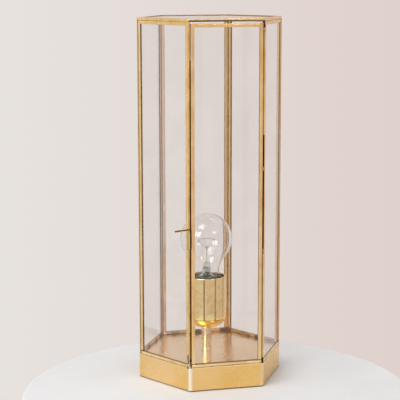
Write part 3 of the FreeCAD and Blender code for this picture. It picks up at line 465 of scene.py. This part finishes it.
def threaded(name, wall, crest, root, low, high, pitch, sides=72, rows=10):
    """Thin rolled screw shell whose wall follows a rounded thread. Sizes in mm, rows is steps per turn of thread."""
    bm = bmesh.new()
    count = int((high - low) / pitch * rows)
    grid = []
    for i in range(count + 1):
        z = low + (high - low) * i / count
        ring = []
        fade = min(1.0, (z - low) / pitch, (high - z) / pitch)
        for j in range(sides):
            turn = 2 * math.pi * j / sides
            wave = 0.5 + 0.5 * math.cos(2 * math.pi * z / pitch - turn)
            radius = crest - (crest - root) * wave * fade
            ring.append((radius, z, turn))
        grid.append(ring)

    def place(radius, z, turn):
        return bm.verts.new((radius * MM * math.cos(turn), radius * MM * math.sin(turn), z * MM))
    outside = [[place(r, z, t) for r, z, t in ring] for ring in grid]
    inside = [[place(r - wall, z, t) for r, z, t in ring] for ring in grid]
    for side in (outside, inside):
        for low_ring, high_ring in zip(side, side[1:]):
            for j in range(sides):
                k = (j + 1) % sides
                bm.faces.new((low_ring[j], low_ring[k], high_ring[k], high_ring[j]))
    for end in (0, -1):
        for j in range(sides):
            k = (j + 1) % sides
            bm.faces.new((outside[end][j], outside[end][k], inside[end][k], inside[end][j]))
    bmesh.ops.transform(bm, matrix=Matrix.Translation(Vector(LAMP) * MM), verts=bm.verts)
    return to_mesh(name, bm, 60)


THREAD_PITCH = 3.6
shell = threaded("shell_thread", 0.12, 13.9, 13.52, 81.5, 107.5, THREAD_PITCH)
new_piece("shell_thread", shell, "lantern", "polished_brass", post_brass, "screw_shell")
skirt = threaded("cap_thread", 0.25, 13.1, 12.55, 91.1, 112.1, THREAD_PITCH)
lip = lathe("cap_lip", [(12.85, 91.2), (13.1, 91.1), (9.5, 89.5), (9.1, 89.5)], LAMP, 72)
new_piece("cap_thread", joined("cap_thread", [skirt, lip]), "bulb", "nickel", nickel, "bulb_cap")
insulator_outline = [(0, 87.8), (5.0, 87.8), (6.2, 88.1), (9.1, 89.5), (9.1, 89.9), (0, 89.9)]
new_piece("insulator_glass", lathe("insulator_glass", insulator_outline, LAMP, 64, 30), "bulb", "black_glass",
          black_glass, "cap_insulator")
button_outline = [(0, 86.6), (2.2, 86.62), (3.6, 86.85), (4.3, 87.3), (4.4, 87.8), (0, 87.8)]
new_piece("contact_button", lathe("contact_button", button_outline, LAMP, 48, 50), "bulb", "nickel", solder,
          "foot_contact")


NECK_R, NECK_Z = 15.0, 36.0
BALL_R, BALL_Z = 30.0, 75.0
GLASS_WALL = 0.55


def bulb_outline(skin):
    """Half outline of the bulb's glass in mm over its foot, this far inside its surface."""
    rise = BALL_Z - NECK_Z
    flare = (rise ** 2 - BALL_R ** 2 + NECK_R ** 2) / (2 * (BALL_R - NECK_R))
    turn = math.degrees(math.atan2(rise, NECK_R + flare))
    points = [(12.7 - skin, 21.5), (12.7 - skin, 25.5), (13.6 - skin, 27.4), (NECK_R - skin, 30.0)]
    points += arc((NECK_R + flare, NECK_Z), flare + skin, 180, 180 - turn, 14)
    points += arc((0, BALL_Z), BALL_R - skin, -turn, 90, 34)[1:-1]
    return points + [(0, BALL_Z + BALL_R - skin)]


bulb_mesh = lathe("bulb_blown", bulb_outline(0) + bulb_outline(GLASS_WALL)[::-1], BULB, 96, 60)
new_piece("bulb_blown", bulb_mesh, "bulb", "bulb_glass", clear_bulb, "bulb_glass")

# Stem: flared foot, flattened press, rod and button, all of glass.
stem_outline = [(13.2, 29.0), (8.0, 31.0), (5.4, 34.0), (4.6, 37.0), (4.6, 40.0), (3.4, 41.0), (0, 41.2), (0, 39.0),
                (3.2, 38.6), (3.4, 36.6), (4.2, 33.6), (6.8, 30.6), (11.6, 29.0)]
stem = lathe("stem", stem_outline, BULB, 64, 60)
press = bmesh.new()
bmesh.ops.create_cube(press, size=1.0)
bmesh.ops.subdivide_edges(press, edges=press.edges, cuts=4, use_grid_fill=True)
for vert in press.verts:
    x, y, z = vert.co * 2
    narrow = 1 - 0.28 * max(0.0, z) ** 2
    rounded = 1 - 0.22 * abs(x) ** 3
    vert.co = Vector((x * 3.6 * narrow, y * 1.7 * rounded * narrow, z * 3.5 + 43.5)) * MM + Vector(BULB) * MM
press_mesh = to_mesh("press", press, 60)
rod = wire("rod", [(BULB[0], 0, BULB[2] + 46.6), (BULB[0], 0, BULB[2] + 63.0)], 0.9, 10)
ball_outline = [(0, 62.1)] + arc((0, 64.0), 1.9, -75, 75, 10) + [(0, 65.9)]
ball = lathe("ball", ball_outline, BULB, 24, 60)
new_piece("stem_blown", joined("stem_blown", [stem, press_mesh, rod, ball], 60), "bulb", "bulb_glass", stem_glass,
          "glass_stem")


FILAMENT_R, FILAMENT_Z = 10.0, 73.0
COIL_R = 0.25


def on_arc(angle, radius=FILAMENT_R, height=FILAMENT_Z):
    """Point on the filament's arc."""
    turn = math.radians(angle)
    return Vector((radius * math.cos(turn), radius * math.sin(turn), height)) + Vector(BULB)


# Filament: a fine coil on an arc open towards the door, which sags a little between its supports.
start, sweep = 325.0, 250.0
coil = []
turns, per_turn = 110, 8
for i in range(turns * per_turn + 1):
    share = i / (turns * per_turn)
    angle = start + sweep * share
    wind = 2 * math.pi * i / per_turn
    sag = -0.075 * abs(math.sin(math.pi * share * 4))
    core = on_arc(angle, FILAMENT_R + COIL_R * math.cos(wind), FILAMENT_Z + COIL_R * math.sin(wind) + sag)
    coil.append(tuple(core))
new_piece("filament_coil", wire("filament_coil", coil, 0.09, 4), "bulb", "tungsten", tungsten, "filament")

# Leads from the press to the coil's two ends, and supports from the stem's button.
leads = []
for side, angle in ((-1, start + sweep), (1, start)):
    tip = on_arc(angle)
    foot = Vector(BULB) + Vector((side * 3.0, 0, 43.5))
    points = []
    for i in range(13):
        share = i / 12
        bow = math.sin(math.pi * share)
        place = foot.lerp(tip, share) + Vector((side * 0.5, 0, 0.6)) * bow
        points.append(tuple(place))
    leads.append(wire("lead", points, 0.24, 6))
new_piece("leads_bent", joined("leads_bent", leads), "bulb", "nickel", lead_metal, "lead_wires")

supports = []
for i in range(3):
    tip = on_arc(start + sweep * (i + 0.5) / 3)
    root = Vector(BULB) + Vector((0, 0, 64.0))
    points = [tuple(root.lerp(tip, k / 8) + Vector((0, 0, -0.5 * math.sin(math.pi * k / 8)))) for k in range(9)]
    supports.append(wire("support", points, 0.16, 6))
new_piece("supports_bent", joined("supports_bent", supports), "bulb", "tungsten", tungsten, "support_wires")

# Latch: one bent wire, with a small upset head below its tube and an arm that droops slightly towards its tip.
latch_at = Vector((-44.023, -76.25, 0))
heading = math.radians(200.0)
along = Vector((math.cos(heading), math.sin(heading), 0))
arm_z, bend, arm_length, droop = 188.3, 1.3, 18.4, 0.25
points = [tuple(latch_at + UP * 165.55), tuple(latch_at + UP * (arm_z - bend))]
for i in range(1, 9):
    turn = math.radians(90 * i / 8)
    out = bend * (1 - math.cos(turn))
    points.append(tuple(latch_at + along * out + UP * (arm_z - bend + bend * math.sin(turn))))
for i in range(1, 7):
    share = i / 6
    points.append(tuple(latch_at + along * (bend + (arm_length - bend) * share) + UP * (arm_z - droop * share ** 2)))
hook = wire("hook", points, 1.1, 12)
head_outline = [(0, 164.75), (1.3, 164.75), (1.7, 165.0), (1.7, 165.35), (1.4, 165.6), (0, 165.6)]
head = lathe("head", head_outline, latch_at, 32, 50)
new_piece("latch_wire", joined("latch_wire", [hook, head], 50), "latch", "aged_brass", latch_brass, "latch_hook")

# Inlet bush, soft-edged.
bush_outline = [(3.2, 72.3), (5.9, 72.3), (6.2, 72.6), (6.2, 73.8), (4.6, 73.8), (4.6, 75.0), (6.2, 75.0)]
bush_outline += [(6.2, 76.1), (5.8, 76.5), (3.6, 76.5), (3.2, 76.2)]
INLET_Z = 13.0
turn_back = Matrix.Translation(UP * INLET_Z * MM) @ Matrix.Rotation(math.radians(-90), 4, "X")
new_piece("bush_moulded", lathe("bush_moulded", bush_outline, LAMP, 64, 40, turn_back), "lantern", "rubber", rubber,
          "cable_grommet")


def blob(name, centre, size, seed, turn=0.0):
    """Lump of solder with an uneven skin."""
    bm = bmesh.new()
    bmesh.ops.create_icosphere(bm, subdivisions=4, radius=1.0)
    for vert in bm.verts:
        swell = 1 + 0.28 * noise.noise(vert.co * 1.7 + Vector((seed, 0, 0)))
        swell += 0.08 * noise.noise(vert.co * 5.0 + Vector((0, seed, 0)))
        co = vert.co * swell
        vert.co = Vector((co.x * size[0], co.y * size[1], co.z * size[2])) * MM
    matrix = Matrix.Translation(Vector(centre) * MM) @ Matrix.Rotation(math.radians(turn), 4, "Z")
    bmesh.ops.transform(bm, matrix=matrix, verts=bm.verts)
    return to_mesh(name, bm, 80)


# Solder left at the corners' feet and by the middle knuckle, and burnt flux beside it.
blobs = [
    blob("foot_f", (-45.4, -71.7, 35.5), (0.8, 0.9, 7.5), 3.0, 30),
    blob("foot_f2", (-45.0, -73.7, 30.4), (1.3, 2.3, 2.6), 8.0, 30),
    blob("foot_f3", (-43.2, -75.4, 29.2), (1.3, 1.0, 1.4), 6.0, 0),
    blob("knuckle", (43.25, -73.2, 159.0), (0.7, 0.7, 3.4), 5.0, 0),
    blob("foot_a", (-84.6, 0.4, 29.0), (0.9, 1.3, 1.6), 11.0, 0),
    blob("foot_d", (84.6, -0.4, 29.2), (0.9, 1.3, 1.8), 13.0, 0),
]
spots = [
    blob("flux_1", (-42.7, -74.3, 36.4), (0.8, 0.8, 1.7), 2.0),
    blob("flux_2", (-45.3, -74.4, 28.9), (1.2, 0.8, 1.0), 4.0),
]
new_piece("flux_spots", joined("flux_spots", spots, 80), "lantern", "aged_brass", dark_brass)

# The latch side's open corner has its own thin run of solder down the end of the frame.
RUN_AT, RUN_LOW, RUN_TALL, WOBBLE, STEPS = (-43.1, -72.9), 28.6, 387.8, 0.07, 60
run = [(RUN_AT[0] + WOBBLE * math.sin(i * 1.9), RUN_AT[1] + WOBBLE * math.cos(i * 2.7), RUN_LOW + RUN_TALL * i / STEPS)
       for i in range(STEPS + 1)]
new_piece("solder_run", wire("solder_run", run, 1.0, 8), "lantern", "aged_brass", run_brass)
new_piece("solder_blobs", joined("solder_blobs", blobs, 80), "lantern", "aged_brass", solder)

# ---------------------------------------------------------------- materials on the part's own nodes
give(satin_brass, "base_wall")
give(floor_brass, "floor_plate")
give(steel, "bottom_cover", "cover_screws", "cover_pillars", "post_nut", "post_washer", "threaded_tube",
     "terminal_screws")
give(came_brass, "frame_front_left", "frame_back_left", "frame_back", "frame_back_right", "frame_front_right",
     "top_frame", "door_frame")
give(aged_brass, "corner_solder")
give(knuckle_brass, "hinge_knuckles")
# The hinge pin is near black: painted shade for the gap at the hinge.
give(dark_brass, "hinge_pin")
give(latch_brass, "latch_tube")
give(came_brass, "door_stop", "hinge_barrel_lower", "hinge_barrel_upper")
give(pane_glass, "glass_front_left", "glass_back_left", "glass_back", "glass_back_right", "glass_front_right",
     "top_glass", "door_glass")
give(ceramic, "contact_carrier")
give(post_brass, "contact_tongue")
give(felt, "felt_pad")

# ---------------------------------------------------------------- table, background, light, camera
YAW, PITCH = math.radians(14.22), math.radians(-9.66)  # where the camera looks
ROLL = Quaternion(UP, math.radians(-0.1))
EYE = Vector((-0.3855, -1.4729, 0.4663))
LENS = 118.78  # mm, for a 36 mm wide sensor

TABLE_R, TABLE_EDGE, TABLE_THICK = 221.4, 4.0, 18.0  # mm, the edge is rounded
TABLE_AT = (-10.9, -75.3, 0.0)


def table_top():
    """Plain pale round top, a little in front of the lamp."""
    flat = TABLE_R - TABLE_EDGE
    outline = [(0, 0), (flat, 0)] + arc((flat, -TABLE_EDGE), TABLE_EDGE, 90, 0, 6)
    outline += [(TABLE_R, -TABLE_THICK), (0, -TABLE_THICK)]
    mesh = lathe("table", outline, TABLE_AT, 192, 50)
    top = bpy.data.objects.new("table", mesh)
    bpy.context.scene.collection.objects.link(top)
    m = Tree("table_white")
    cloud = m.span(m.noise(9.0, 5, 0.6), 0.35, 0.7)
    tone = m.mix(cloud, srgb(226, 226, 228), srgb(221, 221, 222))
    vein = m.span(m.noise(22.0, 6, 0.7, distortion=1.2), 0.6, 0.78, 0.0, 0.25)
    tone = m.mix(vein, tone, srgb(217, 215, 214))
    bumped = m.add("Bump", {"Height": m.noise(300.0, 3), "Strength": 0.04, "Distance": 0.2 * MM})
    rough = m.span(cloud, 0, 1, 0.45, 0.6)
    shader = m.add("BsdfPrincipled", {"Base Color": tone, "Roughness": rough, "Normal": bumped})
    mesh.materials.append(m.output(shader))


table_top()


def surroundings():
    """Even soft light. What camera, metal and glass see is one pale wall, a little pinker to the right."""
    m = Tree("surroundings", "world")
    place = m.add("TexCoord").outputs["Generated"]
    right = Vector((math.cos(YAW), -math.sin(YAW), 0))
    wall = m.mix(m.span(dot(m, place, right), -0.14, 0.16), srgb(231, 226, 222), srgb(223, 208, 203))
    rays = m.add("LightPath")
    seen = m.math("ADD", rays.outputs["Is Camera Ray"], rays.outputs["Is Glossy Ray"])
    seen = m.math("MINIMUM", m.math("ADD", seen, rays.outputs["Is Transmission Ray"]), 1.0)
    straight = m.math("LESS_THAN", rays.outputs["Diffuse Depth"], 0.5)
    shown = m.add("Background", {"Color": wall, "Strength": 1.0})
    light = m.add("Background", {"Color": (1.0, 0.99, 0.98, 1.0), "Strength": 0.62})
    data = m.output(m.add("MixShader", {0: m.math("MULTIPLY", seen, straight), 1: light, 2: shown}), "World")
    bpy.context.scene.world = data


surroundings()


def lamp(name, place, aim, size, power, colour=(1, 1, 1), size_y=None):
    """Soft rectangular studio lamp."""
    data = bpy.data.lights.new(name, "AREA")
    data.shape = "RECTANGLE"
    data.size = size
    data.size_y = size_y or size
    data.energy = power
    data.color = colour
    holder = bpy.data.objects.new(name, data)
    bpy.context.scene.collection.objects.link(holder)
    holder.location = place
    holder.rotation_euler = (Vector(aim) - Vector(place)).to_track_quat("-Z", "Y").to_euler()


lamp("key", (-1.9, -1.2, 1.3), (0, 0, 0.15), 1.2, 25, (1.0, 0.99, 0.975), 0.9)
lamp("fill", (1.1, -2.0, 1.7), (0, 0, 0.15), 0.9, 8, (1.0, 0.975, 0.95), 0.5)
lamp("top", (-0.75, -0.5, 1.95), (0, 0, 0.1), 0.9, 12)

camera_data = bpy.data.cameras.new("camera")
camera_data.sensor_width = 36.0
camera_data.lens = LENS
camera_data.clip_start = 0.05
camera = bpy.data.objects.new("camera", camera_data)
bpy.context.scene.collection.objects.link(camera)
view = Vector((math.sin(YAW) * math.cos(PITCH), math.cos(YAW) * math.cos(PITCH), math.sin(PITCH)))
camera.location = EYE
camera.rotation_euler = (view.to_track_quat("-Z", "Y") @ ROLL).to_euler()
bpy.context.scene.camera = camera
bpy.context.scene.view_settings.view_transform = "Standard"
